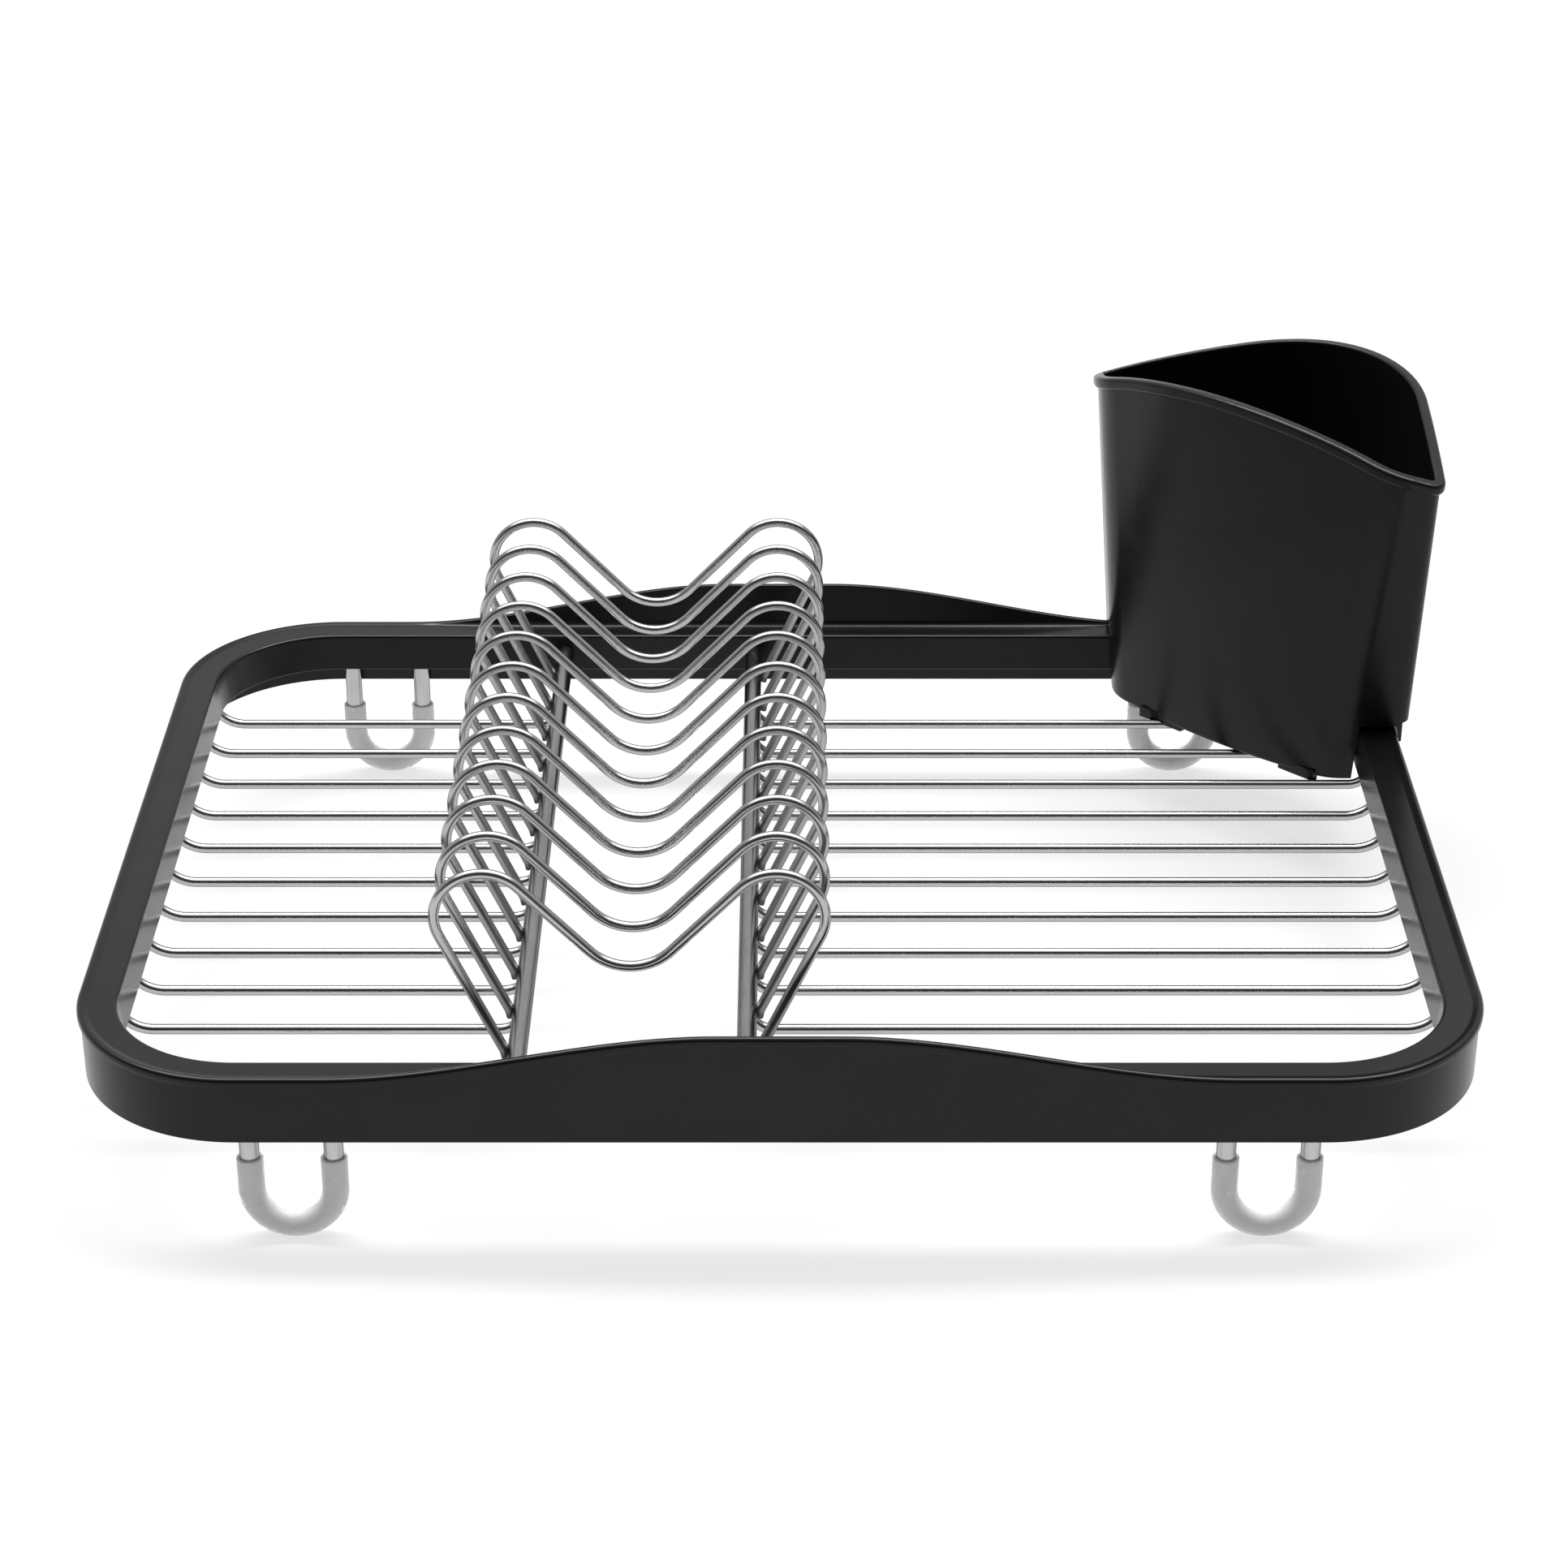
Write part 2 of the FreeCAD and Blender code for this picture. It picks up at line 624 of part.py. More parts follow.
def main():
    os.makedirs("parts", exist_ok=True)
    for name, shape in build_parts().items():
        shape.translate(Vector(-BOX_CENTRE_X, -BOX_CENTRE_Y, 0))
        solids = shape.Solids
        if len(solids) != 1 or not shape.isValid():
            raise RuntimeError(f"{name} is not one valid solid: {len(solids)}")
        box = shape.optimalBoundingBox(False)
        print(
            f"{name}: {shape.Volume:.0f} mm3, X {box.XMin:.2f}..{box.XMax:.2f},"
            f" Y {box.YMin:.2f}..{box.YMax:.2f}, Z {box.ZMin:.2f}..{box.ZMax:.2f}"
        )
        solids[0].exportStep(f"parts/{name}.step")


main()
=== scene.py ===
import math

import bpy
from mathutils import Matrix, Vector


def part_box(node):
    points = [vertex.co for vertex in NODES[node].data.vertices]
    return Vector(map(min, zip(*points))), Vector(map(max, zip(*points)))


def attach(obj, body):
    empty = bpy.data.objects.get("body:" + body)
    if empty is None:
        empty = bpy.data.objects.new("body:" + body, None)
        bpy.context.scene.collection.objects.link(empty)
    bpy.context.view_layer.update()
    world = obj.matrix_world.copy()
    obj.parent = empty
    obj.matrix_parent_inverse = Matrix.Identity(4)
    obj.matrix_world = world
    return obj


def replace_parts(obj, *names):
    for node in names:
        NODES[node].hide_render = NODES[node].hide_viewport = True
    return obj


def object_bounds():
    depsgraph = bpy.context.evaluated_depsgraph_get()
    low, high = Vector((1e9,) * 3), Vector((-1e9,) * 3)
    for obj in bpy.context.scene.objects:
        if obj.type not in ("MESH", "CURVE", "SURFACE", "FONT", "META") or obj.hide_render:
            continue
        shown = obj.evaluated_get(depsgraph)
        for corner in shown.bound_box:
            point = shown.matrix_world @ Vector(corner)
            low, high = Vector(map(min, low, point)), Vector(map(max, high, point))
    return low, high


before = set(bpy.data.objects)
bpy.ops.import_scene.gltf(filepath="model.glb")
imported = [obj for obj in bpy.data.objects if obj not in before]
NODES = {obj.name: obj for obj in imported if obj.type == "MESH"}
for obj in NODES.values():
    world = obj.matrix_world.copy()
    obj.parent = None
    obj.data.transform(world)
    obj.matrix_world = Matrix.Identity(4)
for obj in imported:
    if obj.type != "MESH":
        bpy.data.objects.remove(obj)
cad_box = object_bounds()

# Dish drying rack: a satin black rim on sleeved wire feet, with tray wires, M-shaped plate wires on two
# rods, and a cutlery caddy on the back right corner.  Metres, +Z up, the front faces -Y.
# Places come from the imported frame, and the sizes below are those that its boxes don't tell.

# Rim channel
CORNER_R = 0.044
RIM_TOP_Z = 0.0486
BEAD_HEIGHT = 0.0032
BEAD_OVERHANG = 0.0008
BEAD_WIDTH = 0.0020
BEAD_FALL = 0.0006
BEAD_ROLL = 0.0015
BEAD_INNER_ROUND = 0.0006
LIP_LEAN = 0.095
GROOVE_INSET = 0.0028
GROOVE_DEPTH = 0.0009
GROOVE_ROUND = 0.0020
OUTER_WALL = 0.0020
OUTER_WALL_DRAFT = 0.0002
CEILING_Z = 0.0460
LEDGE_INNER_Z = 0.0476
LEDGE_WIDTH = 0.0102
LEDGE_ROUND = 0.0010
INNER_WALL = 0.0017
INNER_WALL_DRAFT = 0.0012
INNER_WALL_FOOT_Z = 0.0368
EDGE_ROUND = 0.0004
WAVE_HALF_LENGTH = 0.113
WAVE_RAMP = 0.097
PROFILE_STEPS = 6
ROUND_SHARE = 0.72
CORNER_STEPS = 30
RAIL_STEP = 0.004

# Snap ribs inside the channel
RIB_THICKNESS = 0.0020
RIB_FOOT_Z = 0.0407
RIB_X = (-0.090, 0.040, 0.090)
RIB_Y = (-0.0918, -0.0306, 0.0306, 0.0918)
RIB_BEVEL = 0.0003
RIB_BEVEL_SEGMENTS = 2
RIB_NOTCH_STEPS = 12

# Wires
WIRE_SIDES = 24
ARC_STEP = math.radians(5)
TRAY_BEND_R = 0.0070
TRAY_WIDE_BEND_R = 0.0104
LOOP_R = 0.0122
LOOP_HALF_GAP = 0.0363
PLATE_FOOT_HALF_GAP = 0.0313
VALLEY_R = 0.0141
VALLEY_Z = 0.0658
FOOT_BEND_R = 0.0105
END_CHAMFER = 0.0003
WELD_FLARE = 0.28
WELD_REACH = 0.0011
WELD_STEPS = 6
WELD_STAIN_REACH = 0.0035
TRAY_WELD_DEPTH = 0.5  # share of the wire's radius
PLATE_WELD_DEPTH = 0.125  # share of the wire's radius

# Clear sleeves on the feet
SLEEVE_GAP = 0.00004
LIP_STEPS = 8

# Materials: noise scales are features per metre along each axis
NOISE_LOW = 0.3
NOISE_HIGH = 0.7
PLASTIC_DARK = (0.0045, 0.0045, 0.0047)
PLASTIC_LIGHT = (0.0060, 0.0060, 0.0062)
PLASTIC_SPECULAR = 0.22
PLASTIC_ROUGHNESS = (0.22, 0.26)
PLASTIC_CLOUD_SCALE = (45, 45, 45)
PLASTIC_GLOSS_SCALE = (140, 140, 140)
PLASTIC_GRAIN_SCALE = (2600, 2600, 2600)
PLASTIC_GRAIN_STRENGTH = 0.02
STEEL_DARK = (0.43, 0.43, 0.428)
STEEL_LIGHT = (0.49, 0.49, 0.488)
STEEL_STAIN = (0.09, 0.085, 0.08)
STEEL_SPECULAR_TINT = (0.25, 0.25, 0.25, 1)
STEEL_ROUGHNESS = (0.19, 0.21)
STEEL_STAIN_ROUGHNESS = 0.25
STEEL_TONE_SCALE = (70, 260, 1)
STEEL_LINE_SCALE = (25, 5200, 1)
STEEL_LINE_STRENGTH = 0.004
STEEL_LINE_DEPTH = 0.00002
SLEEVE_DARK = (0.90, 0.903, 0.906)
SLEEVE_LIGHT = (0.94, 0.943, 0.946)
SLEEVE_TRANSMISSION = 0.38
SLEEVE_SCATTER_REACH = 0.002
SLEEVE_IOR = 1.25
SLEEVE_ROUGHNESS = (0.22, 0.28)
SLEEVE_CLOUD_SCALE = (300, 300, 300)
SLEEVE_GRAIN_SCALE = (900, 900, 900)
SLEEVE_GRAIN_STRENGTH = 0.01
GRAIN_DEPTH = 0.00005
FLOOR_DARK = (0.200, 0.200, 0.200)
FLOOR_LIGHT = (0.206, 0.206, 0.206)
FLOOR_ROUGHNESS = 0.9
FLOOR_SPECULAR = 0.1
FLOOR_CLOUD_SCALE = (3, 3, 3)

# Camera and light
CAMERA_OFFSET = Vector((0.001, -0.952, 0.5347))
CAMERA_PITCH = math.radians(26.475)
CAMERA_LENS = 88.67
SENSOR_WIDTH = 36.0
FLOOR_HALF = 9.0
FLOOR_DROP = 0.0001
SOFTBOX_HEIGHT = 2.5
SOFTBOX_SIZE = (5.0, 3.1)
SOFTBOX_SHIFT_Y = 0.53
SOFTBOX_POWER = 68.0
STRIP_HEIGHT = 2.3
STRIP_SIZE = (3.0, 0.5)
STRIP_SHIFT_Y = 0.64
STRIP_POWER = 90.0
FLOOR_GLOW = 0.68
WORLD_FRONT_GREY = 0.06
WORLD_BACK_GREY = 0.74
WORLD_BLEND = 0.6


def box_middle(node):
    low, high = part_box(node)
    return (low + high) / 2


RIM_LOW, RIM_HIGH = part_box("rim_frame")
CENTRE = box_middle("rim_frame")
HALF_X = (RIM_HIGH.x - RIM_LOW.x) / 2
LIP_OVERHANG = LIP_LEAN * (RIM_HIGH.z - CEILING_Z - BEAD_OVERHANG)
HALF_Y = (RIM_HIGH.y - RIM_LOW.y) / 2 - LIP_OVERHANG
WALL_FOOT_Z = RIM_LOW.z
WAVE_HEIGHT = RIM_HIGH.z - RIM_TOP_Z


# Materials

def new_material(name):
    """A material with nodes, its node tree and its Principled shader."""
    material = bpy.data.materials.new(name)
    material.use_nodes = True
    tree = material.node_tree
    return material, tree, tree.nodes["Principled BSDF"]


def scaled_noise(tree, coordinates, scale, detail):
    """Noise from 0 to 1 whose features per metre along each axis are given by scale."""
    mapping = tree.nodes.new("ShaderNodeMapping")
    mapping.inputs["Scale"].default_value = scale
    noise = tree.nodes.new("ShaderNodeTexNoise")
    noise.inputs["Scale"].default_value = 1.0
    noise.inputs["Detail"].default_value = detail
    tree.links.new(coordinates, mapping.inputs["Vector"])
    tree.links.new(mapping.outputs["Vector"], noise.inputs["Vector"])
    return noise.outputs["Fac"]


def ranged(tree, value, low, high):
    """Maps noise, which lies mostly from NOISE_LOW to NOISE_HIGH, to low..high."""
    node = tree.nodes.new("ShaderNodeMapRange")
    node.inputs["From Min"].default_value = NOISE_LOW
    node.inputs["From Max"].default_value = NOISE_HIGH
    node.inputs["To Min"].default_value = low
    node.inputs["To Max"].default_value = high
    tree.links.new(value, node.inputs["Value"])
    return node.outputs["Result"]


def mixed_colour(tree, factor, first, second):
    """Colour between first and second; first may be a colour or a socket."""
    node = tree.nodes.new("ShaderNodeMix")
    node.data_type = "RGBA"
    tree.links.new(factor, node.inputs["Factor"])
    if isinstance(first, tuple):
        node.inputs["A"].default_value = first + (1.0,)
    else:
        tree.links.new(first, node.inputs["A"])
    node.inputs["B"].default_value = second + (1.0,)
    return node.outputs["Result"]


def bumped(tree, shader, height, strength, distance):
    node = tree.nodes.new("ShaderNodeBump")
    node.inputs["Strength"].default_value = strength
    node.inputs["Distance"].default_value = distance
    tree.links.new(height, node.inputs["Height"])
    tree.links.new(node.outputs["Normal"], shader.inputs["Normal"])


def black_plastic():
    """Satin moulded black with a very fine grain and slow changes of gloss."""
    material, tree, shader = new_material("satin_black_plastic")
    place = tree.nodes.new("ShaderNodeTexCoord").outputs["Object"]
    shader.inputs["Specular IOR Level"].default_value = PLASTIC_SPECULAR
    cloud = scaled_noise(tree, place, PLASTIC_CLOUD_SCALE, 3)
    colour = mixed_colour(tree, ranged(tree, cloud, 0, 1), PLASTIC_DARK, PLASTIC_LIGHT)
    tree.links.new(colour, shader.inputs["Base Color"])
    gloss = scaled_noise(tree, place, PLASTIC_GLOSS_SCALE, 4)
    tree.links.new(ranged(tree, gloss, *PLASTIC_ROUGHNESS), shader.inputs["Roughness"])
    grain = scaled_noise(tree, place, PLASTIC_GRAIN_SCALE, 2)
    bumped(tree, shader, grain, PLASTIC_GRAIN_STRENGTH, GRAIN_DEPTH)
    return material


def satin_steel():
    """Drawn round wire: fine lines along its run, and a dull stain at its welds."""
    material, tree, shader = new_material("satin_steel")
    run = tree.nodes.new("ShaderNodeUVMap")
    run.uv_map = "run"
    stain = tree.nodes.new("ShaderNodeAttribute")
    stain.attribute_name = "weld"
    shader.inputs["Metallic"].default_value = 1.0
    shader.inputs["Specular Tint"].default_value = STEEL_SPECULAR_TINT
    tone = scaled_noise(tree, run.outputs["UV"], STEEL_TONE_SCALE, 3)
    steel = mixed_colour(tree, ranged(tree, tone, 0, 1), STEEL_DARK, STEEL_LIGHT)
    colour = mixed_colour(tree, stain.outputs["Fac"], steel, STEEL_STAIN)
    tree.links.new(colour, shader.inputs["Base Color"])
    lines = scaled_noise(tree, run.outputs["UV"], STEEL_LINE_SCALE, 4)
    roughness = tree.nodes.new("ShaderNodeMath")
    roughness.operation = "MULTIPLY_ADD"
    roughness.inputs[1].default_value = STEEL_STAIN_ROUGHNESS
    tree.links.new(stain.outputs["Fac"], roughness.inputs[0])
    tree.links.new(ranged(tree, lines, *STEEL_ROUGHNESS), roughness.inputs[2])
    tree.links.new(roughness.outputs["Value"], shader.inputs["Roughness"])
    bumped(tree, shader, lines, STEEL_LINE_STRENGTH, STEEL_LINE_DEPTH)
    return material


def clear_sleeve():
    """Soft clear tube, slightly milky, with faint flow clouds."""
    material, tree, shader = new_material("clear_sleeve")
    place = tree.nodes.new("ShaderNodeTexCoord").outputs["Object"]
    shader.inputs["Transmission Weight"].default_value = SLEEVE_TRANSMISSION
    shader.inputs["Subsurface Weight"].default_value = 1.0
    shader.inputs["Subsurface Radius"].default_value = (1, 1, 1)
    shader.inputs["Subsurface Scale"].default_value = SLEEVE_SCATTER_REACH
    shader.inputs["IOR"].default_value = SLEEVE_IOR
    cloud = scaled_noise(tree, place, SLEEVE_CLOUD_SCALE, 3)
    colour = mixed_colour(tree, ranged(tree, cloud, 0, 1), SLEEVE_DARK, SLEEVE_LIGHT)
    tree.links.new(colour, shader.inputs["Base Color"])
    tree.links.new(ranged(tree, cloud, *SLEEVE_ROUGHNESS), shader.inputs["Roughness"])
    grain = scaled_noise(tree, place, SLEEVE_GRAIN_SCALE, 2)
    bumped(tree, shader, grain, SLEEVE_GRAIN_STRENGTH, GRAIN_DEPTH)
    return material


def pale_floor():
    material, tree, shader = new_material("pale_floor")
    place = tree.nodes.new("ShaderNodeTexCoord").outputs["Object"]
    cloud = scaled_noise(tree, place, FLOOR_CLOUD_SCALE, 2)
    colour = mixed_colour(tree, ranged(tree, cloud, 0, 1), FLOOR_DARK, FLOOR_LIGHT)
    tree.links.new(colour, shader.inputs["Base Color"])
    shader.inputs["Roughness"].default_value = FLOOR_ROUGHNESS
    shader.inputs["Specular IOR Level"].default_value = FLOOR_SPECULAR
    shader.inputs["Emission Color"].default_value = (1, 1, 1, 1)
    shader.inputs["Emission Strength"].default_value = FLOOR_GLOW
    return material


# Meshes

def new_piece(name, vertices, faces, material, body):
    mesh = bpy.data.meshes.new(name)
    mesh.from_pydata(vertices, [], faces)
    mesh.materials.append(material)
    mesh.shade_smooth()
    piece = bpy.data.objects.new(name, mesh)
    bpy.context.scene.collection.objects.link(piece)
    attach(piece, body)
    return piece


def run_lengths(points, closed):
    """Distance along the points up to each of them, and once round to the first if closed."""
    lengths = [0.0]
    for here, ahead in zip(points, points[1:] + points[:1] * closed):
        lengths.append(lengths[-1] + (Vector(ahead) - Vector(here)).length)
    return lengths


def skin(name, rings, closed, material):
    """Surface through rings of points, with flat caps where it is open, and its run as a UV map."""
    count = len(rings)
    sides = len(rings[0])
    vertices = [point for ring in rings for point in ring]
    faces = []
    for i in range(count if closed else count - 1):
        ahead = (i + 1) % count
        for j in range(sides):
            k = (j + 1) % sides
            faces.append((i * sides + j, ahead * sides + j, ahead * sides + k, i * sides + k))
    side_faces = len(faces)
    if not closed:
        faces.append(tuple(range(sides)))
        faces.append(tuple(reversed(range((count - 1) * sides, count * sides))))
    piece = new_piece(name, vertices, faces, material, "rack")
    piece.modifiers.new("large_faces_stay_flat", "WEIGHTED_NORMAL")

    middles = [sum((Vector(p) for p in ring), Vector()) / sides for ring in rings]
    along = run_lengths(middles, closed)
    around = run_lengths(rings[0], True)
    uv = piece.data.uv_layers.new(name="run")
    for face in range(side_faces):
        i, j = divmod(face, sides)
        loop = piece.data.polygons[face].loop_start
        corners = ((i, j), (i + 1, j), (i + 1, j + 1), (i, j + 1))
        for step, (ring, side) in enumerate(corners):
            uv.data[loop + step].uv = (along[ring], around[side])
    return piece


def rounded_outline(corners):
    """Closed outline with its corners rounded; each corner is (u, v, radius)."""
    outline = []
    count = len(corners)
    for i, (u, v, radius) in enumerate(corners):
        corner = Vector((u, v))
        back = Vector(corners[i - 1][:2]) - corner
        ahead = Vector(corners[(i + 1) % count][:2]) - corner
        room = ROUND_SHARE * min(back.length, ahead.length)
        half_angle = back.angle(ahead) / 2
        reach = min(radius / math.tan(half_angle), room)
        start = corner + back.normalized() * reach
        end = corner + ahead.normalized() * reach
        bisector = (back.normalized() + ahead.normalized()).normalized()
        centre = corner + bisector * (reach / math.cos(half_angle))
        spoke = start - centre
        turn = spoke.angle_signed(end - centre)
        for step in range(PROFILE_STEPS + 1):
            angle = -turn * step / PROFILE_STEPS
            cosine = math.cos(angle)
            sine = math.sin(angle)
            turned = Vector((spoke.x * cosine - spoke.y * sine, spoke.x * sine + spoke.y * cosine))
            outline.append(centre + turned)
    return outline


# Rim

def wave_lift(x):
    """Height of the front and back rails' wave above the rim: a smooth step to the middle."""
    rise = min(1.0, max(0.0, (WAVE_HALF_LENGTH - abs(x)) / WAVE_RAMP))
    return WAVE_HEIGHT * rise * rise * (3 - 2 * rise)


def rail_profile(lift):
    """Cross-section of the rail as (inset, z) points, with its bead raised by lift and leaning out."""
    bead_foot = RIM_TOP_Z - BEAD_HEIGHT + lift
    bead_top = RIM_TOP_Z + lift
    lean = LIP_LEAN * lift
    foot = LEDGE_WIDTH + INNER_WALL_DRAFT
    wall = BEAD_OVERHANG + OUTER_WALL
    return rounded_outline([
        (BEAD_OVERHANG + OUTER_WALL_DRAFT, WALL_FOOT_Z, EDGE_ROUND),
        (BEAD_OVERHANG - lean, bead_foot, EDGE_ROUND),
        (-lean, bead_foot + BEAD_OVERHANG, EDGE_ROUND),
        (-lean, bead_top, BEAD_ROLL),
        (BEAD_WIDTH - lean, bead_top - BEAD_FALL, BEAD_INNER_ROUND),
        (GROOVE_INSET, RIM_TOP_Z - GROOVE_DEPTH, GROOVE_ROUND),
        (LEDGE_WIDTH, LEDGE_INNER_Z, LEDGE_ROUND),
        (foot, INNER_WALL_FOOT_Z, EDGE_ROUND),
        (foot - INNER_WALL, INNER_WALL_FOOT_Z, EDGE_ROUND),
        (LEDGE_WIDTH - INNER_WALL, CEILING_Z, EDGE_ROUND),
        (wall, CEILING_Z, EDGE_ROUND),
        (wall + OUTER_WALL_DRAFT, WALL_FOOT_Z, EDGE_ROUND),
    ])


def rim_stations():
    """Places round the rim's outline: a point of the corner-centre rectangle, and the outward heading.

    The outline is this rectangle moved outwards by CORNER_R.
    """
    half_x = HALF_X - CORNER_R
    half_y = HALF_Y - CORNER_R
    corners = [(half_x, -half_y), (half_x, half_y), (-half_x, half_y), (-half_x, -half_y)]
    stations = []
    for i, (x, y) in enumerate(corners):
        for step in range(CORNER_STEPS + 1):
            heading = math.radians(90) * (i - 1 + step / CORNER_STEPS)
            stations.append((x, y, heading))
        next_x, next_y = corners[(i + 1) % len(corners)]
        length = math.hypot(next_x - x, next_y - y)
        steps = round(length / RAIL_STEP)
        heading = math.radians(90) * i
        for step in range(1, steps):
            share = step / steps
            stations.append((x + (next_x - x) * share, y + (next_y - y) * share, heading))
    return stations


def rim(material):
    rings = []
    for x, y, heading in rim_stations():
        outward = Vector((math.cos(heading), math.sin(heading), 0))
        ring = []
        for inset, z in rail_profile(wave_lift(x)):
            place = Vector((CENTRE.x + x, CENTRE.y + y, z))
            ring.append(place + outward * (CORNER_R - inset))
        rings.append(ring)
    return skin("moulded_rim", rings, True, material)


def rib_outline():
    """Web across the channel, as (inset, z) points, notched over the perimeter wire."""
    wire_low, wire_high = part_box("perimeter_wire")
    wire_r = (wire_high.z - wire_low.z) / 2
    wire_z = (wire_high.z + wire_low.z) / 2
    wire_inset = HALF_X - (wire_high.x - wire_low.x) / 2 + wire_r
    inner = LEDGE_WIDTH - INNER_WALL / 2
    outer = BEAD_OVERHANG + OUTER_WALL / 2
    top = CEILING_Z + EDGE_ROUND
    notch_angle = math.asin((RIB_FOOT_Z - wire_z) / wire_r)
    outline = [(inner, top), (outer, top), (outer, RIB_FOOT_Z)]
    for step in range(RIB_NOTCH_STEPS + 1):
        angle = math.pi - notch_angle + (2 * notch_angle - math.pi) * step / RIB_NOTCH_STEPS
        outline.append((wire_inset + wire_r * math.cos(angle), wire_z + wire_r * math.sin(angle)))
    outline.append((inner, RIB_FOOT_Z))
    return outline


def snap_ribs(material):
    vertices = []
    faces = []
    outline = rib_outline()
    places = [(x, -HALF_Y, 0, 1) for x in RIB_X] + [(x, HALF_Y, 0, -1) for x in RIB_X]
    places += [(-HALF_X, y, 1, 0) for y in RIB_Y] + [(HALF_X, y, -1, 0) for y in RIB_Y]
    for x, y, inward_x, inward_y in places:
        first = len(vertices)
        for side in (-0.5, 0.5):
            for inset, z in outline:
                across = RIB_THICKNESS * side
                vertices.append((
                    CENTRE.x + x + inward_x * inset - inward_y * across,
                    CENTRE.y + y + inward_y * inset + inward_x * across,
                    z,
                ))
        count = len(outline)
        faces.append(tuple(first + i for i in range(count)))
        faces.append(tuple(first + count + i for i in reversed(range(count))))
        for i in range(count):
            j = (i + 1) % count
            faces.append((first + j, first + i, first + count + i, first + count + j))
    piece = new_piece("snap_ribs", vertices, faces, material, "rack")
    piece.data.shade_flat()
    bevel = piece.modifiers.new("edges", "BEVEL")
    bevel.width = RIB_BEVEL
    bevel.segments = RIB_BEVEL_SEGMENTS


# Wires

def arc_points(centre, radius, start, end):
    """Points in the plane of (across, z), from the angle start to the angle end."""
    steps = max(1, math.ceil(abs(end - start) / ARC_STEP))
    points = []
    for step in range(steps + 1):
        angle = start + (end - start) * step / steps
        points.append((centre[0] + radius * math.cos(angle), centre[1] + radius * math.sin(angle)))
    return points


def in_xz(points, y):
    return [Vector((x, y, z)) for x, z in points]


def ring_at(point, tangent, normal, radius):
    """Circle round a wire's axis; normal is square to the plane that the wire lies in."""
    side = tangent.cross(normal)
    ring = []
    for i in range(WIRE_SIDES):
        angle = 2 * math.pi * i / WIRE_SIDES
        ring.append(point + (side * math.cos(angle) + normal * math.sin(angle)) * radius)
    return ring


def tangents(points, closed=False):
    """Unit direction of the run at each point."""
    count = len(points)
    result = []
    for i, here in enumerate(points):
        back = here - points[i - 1] if closed or i > 0 else points[1] - here
        ahead = points[(i + 1) % count] - here if closed or i < count - 1 else here - points[i - 1]
        result.append((back.normalized() + ahead.normalized()).normalized())
    return result


def point_along(points, lengths, distance):
    """The point at a distance along the run."""
    for i in range(len(points) - 1):
        if distance <= lengths[i + 1]:
            share = (distance - lengths[i]) / (lengths[i + 1] - lengths[i])
            return points[i].lerp(points[i + 1], share)
    return points[-1]


def with_weld_points(points):
    """The run with closer points over the flare at each end."""
    lengths = run_lengths(points, False)
    total = lengths[-1]
    reach = 2 * WELD_REACH
    steps = [reach * i / WELD_STEPS for i in range(WELD_STEPS + 1)]
    start = [point_along(points, lengths, step) for step in steps]
    between = [point for point, length in zip(points, lengths) if reach < length < total - reach]
    end = [point_along(points, lengths, total - step) for step in reversed(steps)]
    return start + between + end


def welded_wire(name, node, points, normal, radius, material):
    """Round wire that flares a little into the weld at each end."""
    points = with_weld_points(points)
    along = run_lengths(points, False)
    rings = []
    stains = []
    for point, tangent, distance in zip(points, tangents(points), along):
        to_end = min(distance, along[-1] - distance)
        flare = 1 + WELD_FLARE * math.exp(-(to_end / WELD_REACH) ** 2)
        rings.append(ring_at(point, tangent, normal, radius * flare))
        stains += [math.exp(-(to_end / WELD_STAIN_REACH) ** 2)] * WIRE_SIDES
    piece = skin(name, rings, False, material)
    weld = piece.data.attributes.new("weld", "FLOAT", "POINT")
    weld.data.foreach_set("value", stains)
    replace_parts(piece, node)


def chamfered_wire(name, node, points, normal, radius, material):
    """Round wire with a small chamfer at each cut end."""
    directions = tangents(points)
    rings = [ring_at(points[0], directions[0], normal, radius - END_CHAMFER)]
    rings.append(ring_at(points[0] + directions[0] * END_CHAMFER, directions[0], normal, radius))
    for point, tangent in zip(points[1:-1], directions[1:-1]):
        rings.append(ring_at(point, tangent, normal, radius))
    rings.append(ring_at(points[-1] - directions[-1] * END_CHAMFER, directions[-1], normal, radius))
    rings.append(ring_at(points[-1], directions[-1], normal, radius - END_CHAMFER))
    piece = skin(name, rings, False, material)
    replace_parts(piece, node)


def perimeter_wire(material):
    low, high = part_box("perimeter_wire")
    radius = (high.z - low.z) / 2
    z = (high.z + low.z) / 2
    corner_r = CORNER_R - (HALF_X - (high.x - low.x) / 2) - radius
    points = []
    directions = []
    for x, y, heading in rim_stations():
        outward = Vector((math.cos(heading), math.sin(heading), 0))
        points.append(Vector((CENTRE.x + x, CENTRE.y + y, z)) + outward * corner_r)
        directions.append(Vector((0, 0, 1)).cross(outward))
    up = Vector((0, 0, 1))
    rings = [ring_at(point, direction, up, radius) for point, direction in zip(points, directions)]
    piece = skin("hidden_perimeter_wire", rings, True, material)
    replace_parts(piece, "perimeter_wire")


def support_rod(side, material):
    node = f"support_rod_{side}"
    low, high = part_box(node)
    radius = (high.x - low.x) / 2
    middle = box_middle(node)
    points = [Vector((middle.x, low.y, middle.z)), middle, Vector((middle.x, high.y, middle.z))]
    chamfered_wire(f"cross_rod_{side}", node, points, Vector((0, 0, 1)), radius, material)


def rim_bend_radius(side, node):
    """Bend of a tray wire at the rim, tighter where the cutlery caddy fits over it."""
    caddy_low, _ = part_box("cutlery_caddy")
    _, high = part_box(node)
    if side == "right" and high.y > caddy_low.y:
        return TRAY_BEND_R
    return TRAY_WIDE_BEND_R


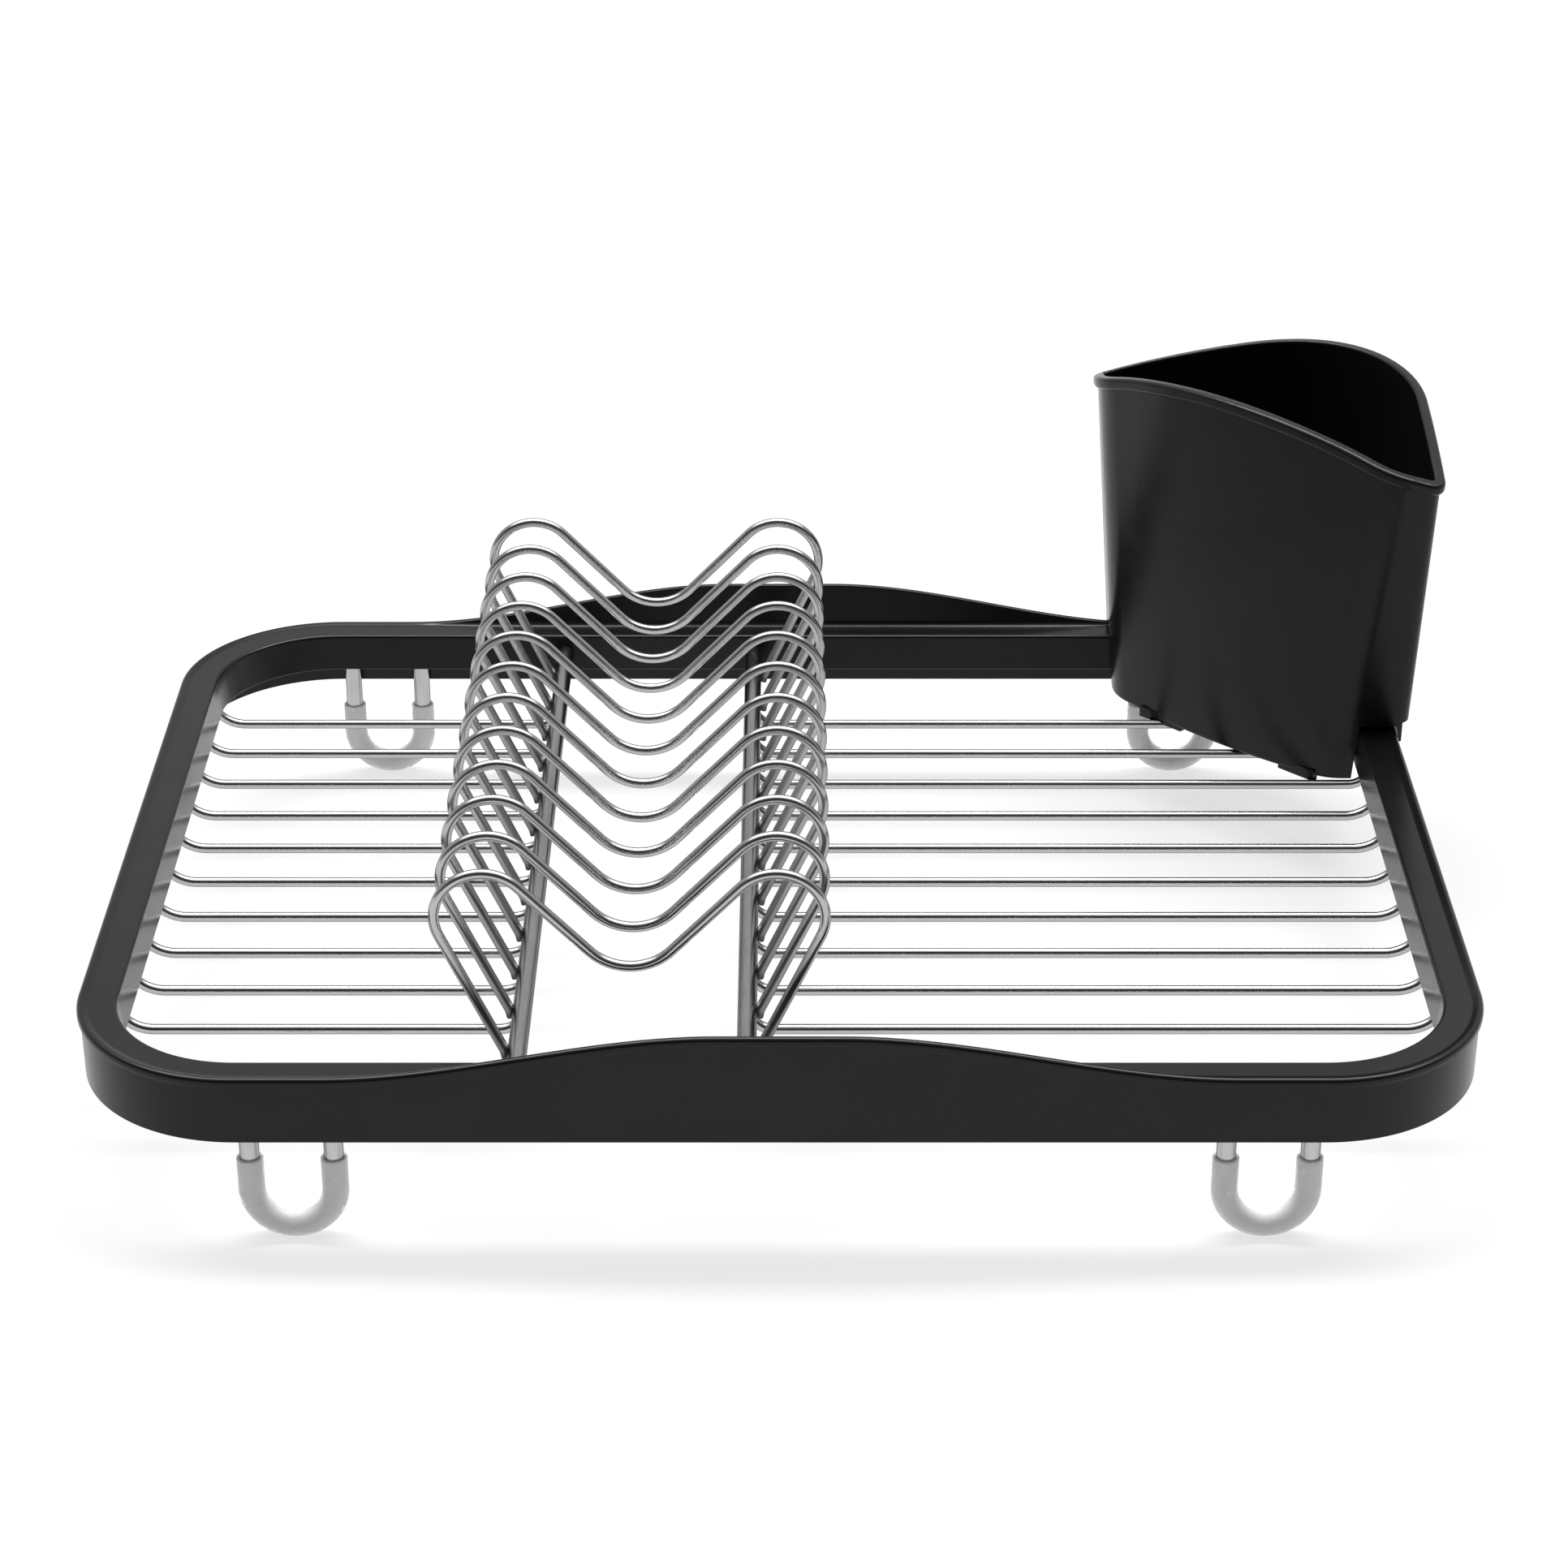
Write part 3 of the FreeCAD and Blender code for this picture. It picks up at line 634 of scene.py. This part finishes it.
def tray_wire(side, number, material):
    node = f"tray_wire_{side}_{number:02d}"
    low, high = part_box(node)
    radius = (high.y - low.y) / 2
    left = low.x + radius
    right = high.x - radius
    z = low.z + radius
    rod_low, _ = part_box(f"support_rod_{side}")
    ring_low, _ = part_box("perimeter_wire")
    weld_depth = radius * TRAY_WELD_DEPTH
    rod_end = (left if side == "right" else right, rod_low.z + weld_depth)
    ring_end = (right if side == "right" else left, ring_low.z + weld_depth)
    left_end, right_end = (rod_end, ring_end) if side == "right" else (ring_end, rod_end)
    rim_bend = rim_bend_radius(side, node)
    left_bend = TRAY_BEND_R if side == "right" else rim_bend
    right_bend = rim_bend if side == "right" else TRAY_BEND_R
    half_turn = math.pi
    down = 1.5 * math.pi
    points = [left_end]
    points += arc_points((left + left_bend, z + left_bend), left_bend, half_turn, down)
    points += arc_points((right - right_bend, z + right_bend), right_bend, down, 2 * math.pi)
    points.append(right_end)
    welded_wire(f"drawn_{node}", node, in_xz(points, box_middle(node).y), Vector((0, 1, 0)), radius, material)


def plate_wire_run(middle_x, foot_z, loop_z):
    """M shape as (x, z): leaning leg, loop, slope, valley, and the same mirrored."""
    valley_z = VALLEY_Z + VALLEY_R
    over = LOOP_HALF_GAP - PLATE_FOOT_HALF_GAP
    rise = loop_z - foot_z
    leg_heading = math.atan2(rise, over) - math.asin(LOOP_R / math.hypot(over, rise))
    leg_normal = leg_heading - math.pi / 2
    gap = math.hypot(LOOP_HALF_GAP, loop_z - valley_z)
    slope_tilt = math.asin((LOOP_R + VALLEY_R) / gap) - math.atan2(loop_z - valley_z, LOOP_HALF_GAP)
    slope_normal = math.pi / 2 + slope_tilt
    right = [(PLATE_FOOT_HALF_GAP, foot_z)]
    right += arc_points((LOOP_HALF_GAP, loop_z), LOOP_R, leg_normal, slope_normal)
    right += arc_points((0, valley_z), VALLEY_R, slope_normal - math.pi, -math.pi / 2)
    left = [(-x, z) for x, z in reversed(right[:-1])]
    return [(middle_x + x, z) for x, z in right + left]


def plate_wire(number, material):
    node = f"plate_wire_{number:02d}"
    low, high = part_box(node)
    radius = (high.y - low.y) / 2
    middle = box_middle(node)
    loop_z = high.z - radius - LOOP_R
    run = plate_wire_run(middle.x, low.z + radius * PLATE_WELD_DEPTH, loop_z)
    welded_wire(f"drawn_{node}", node, in_xz(run, middle.y), Vector((0, 1, 0)), radius, material)


def foot_run(middle, low_z, top_z):
    """U shape of a foot: down, round the bend and up."""
    turn_z = low_z + FOOT_BEND_R
    points = [(middle.x - FOOT_BEND_R, top_z)]
    points += arc_points((middle.x, turn_z), FOOT_BEND_R, math.pi, 2 * math.pi)
    points.append((middle.x + FOOT_BEND_R, top_z))
    return in_xz(points, middle.y)


def foot_wire(name, material):
    node = f"foot_wire_{name}"
    low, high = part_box(node)
    radius = (high.y - low.y) / 2
    run = foot_run(box_middle(node), low.z + radius, high.z)
    chamfered_wire(f"bent_{node}", node, run, Vector((0, 1, 0)), radius, material)


def foot_sleeve(name, material):
    """Thick-walled soft tube over the foot's bend, with rounded mouths and a flattened sole."""
    node = f"foot_sleeve_{name}"
    low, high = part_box(node)
    outer_r = (high.y - low.y) / 2
    wire_low, wire_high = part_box(f"foot_wire_{name}")
    wire_r = (wire_high.y - wire_low.y) / 2
    bore_r = wire_r + SLEEVE_GAP
    lip_r = (outer_r - bore_r) / 2
    run = foot_run(box_middle(node), wire_low.z + wire_r, high.z - lip_r)
    normal = Vector((0, 1, 0))
    directions = tangents(run)
    rings = [ring_at(p, t, normal, outer_r) for p, t in zip(run, directions)]
    for end, outward in ((-1, directions[-1]), (0, -directions[0])):
        for step in range(1, LIP_STEPS):
            angle = math.pi * step / LIP_STEPS
            if end == 0:
                angle = math.pi - angle
            place = run[end] + outward * (lip_r * math.sin(angle))
            radius = bore_r + lip_r * (1 + math.cos(angle))
            rings.append(ring_at(place, directions[end], normal, radius))
        if end == -1:
            rings += [ring_at(p, t, normal, bore_r) for p, t in zip(reversed(run), reversed(directions))]
    piece = skin(f"soft_{node}", rings, True, material)
    for vertex in piece.data.vertices:
        vertex.co.z = max(vertex.co.z, low.z)
    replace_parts(piece, node)


# Studio

def overhead_light(name, size, power, shift_y, height):
    light = bpy.data.lights.new(name, "AREA")
    light.shape = "RECTANGLE"
    light.size, light.size_y = size
    light.energy = power
    piece = bpy.data.objects.new(name, light)
    piece.location = (CENTRE.x, CENTRE.y + shift_y, height)
    bpy.context.scene.collection.objects.link(piece)


def studio():
    mesh = bpy.data.meshes.new("studio_floor")
    z = cad_box[0][2] - FLOOR_DROP
    size = FLOOR_HALF
    corners = [(-size, -size, z), (size, -size, z), (size, size, z), (-size, size, z)]
    mesh.from_pydata(corners, [], [(0, 1, 2, 3)])
    mesh.materials.append(pale_floor())
    floor = bpy.data.objects.new("studio_floor", mesh)
    bpy.context.scene.collection.objects.link(floor)

    overhead_light("softbox", SOFTBOX_SIZE, SOFTBOX_POWER, SOFTBOX_SHIFT_Y, SOFTBOX_HEIGHT)
    overhead_light("strip", STRIP_SIZE, STRIP_POWER, STRIP_SHIFT_Y, STRIP_HEIGHT)

    # The room is dark in front and grey behind
    world = bpy.data.worlds.new("studio")
    world.use_nodes = True
    tree = world.node_tree
    direction = tree.nodes.new("ShaderNodeTexCoord")
    axes = tree.nodes.new("ShaderNodeSeparateXYZ")
    blend = tree.nodes.new("ShaderNodeMapRange")
    blend.inputs["From Min"].default_value = -WORLD_BLEND
    blend.inputs["From Max"].default_value = WORLD_BLEND
    blend.inputs["To Min"].default_value = WORLD_FRONT_GREY
    blend.inputs["To Max"].default_value = WORLD_BACK_GREY
    tree.links.new(direction.outputs["Generated"], axes.inputs["Vector"])
    tree.links.new(axes.outputs["Y"], blend.inputs["Value"])
    tree.links.new(blend.outputs["Result"], tree.nodes["Background"].inputs["Color"])
    bpy.context.scene.world = world
    bpy.context.scene.view_settings.view_transform = "Standard"


def camera():
    data = bpy.data.cameras.new("photo_camera")
    data.sensor_width = SENSOR_WIDTH
    data.lens = CAMERA_LENS
    piece = bpy.data.objects.new("photo_camera", data)
    piece.location = Vector((CENTRE.x, CENTRE.y, 0)) + CAMERA_OFFSET
    piece.rotation_euler = (math.radians(90) - CAMERA_PITCH, 0, 0)
    bpy.context.scene.collection.objects.link(piece)
    bpy.context.scene.camera = piece


def rack():
    plastic = black_plastic()
    steel = satin_steel()
    clear = clear_sleeve()
    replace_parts(rim(plastic), "rim_frame")
    snap_ribs(plastic)
    perimeter_wire(steel)
    for side in ("left", "right"):
        support_rod(side, steel)
        for number in range(1, 1 + sum(name.startswith(f"tray_wire_{side}") for name in NODES)):
            tray_wire(side, number, steel)
    for number in range(1, 1 + sum(name.startswith("plate_wire") for name in NODES)):
        plate_wire(number, steel)
    for end in ("front", "back"):
        for side in ("left", "right"):
            foot_wire(f"{end}_{side}", steel)
            foot_sleeve(f"{end}_{side}", clear)
    caddy = NODES["cutlery_caddy"]
    for slot in caddy.material_slots:
        slot.material = plastic


rack()
studio()
camera()
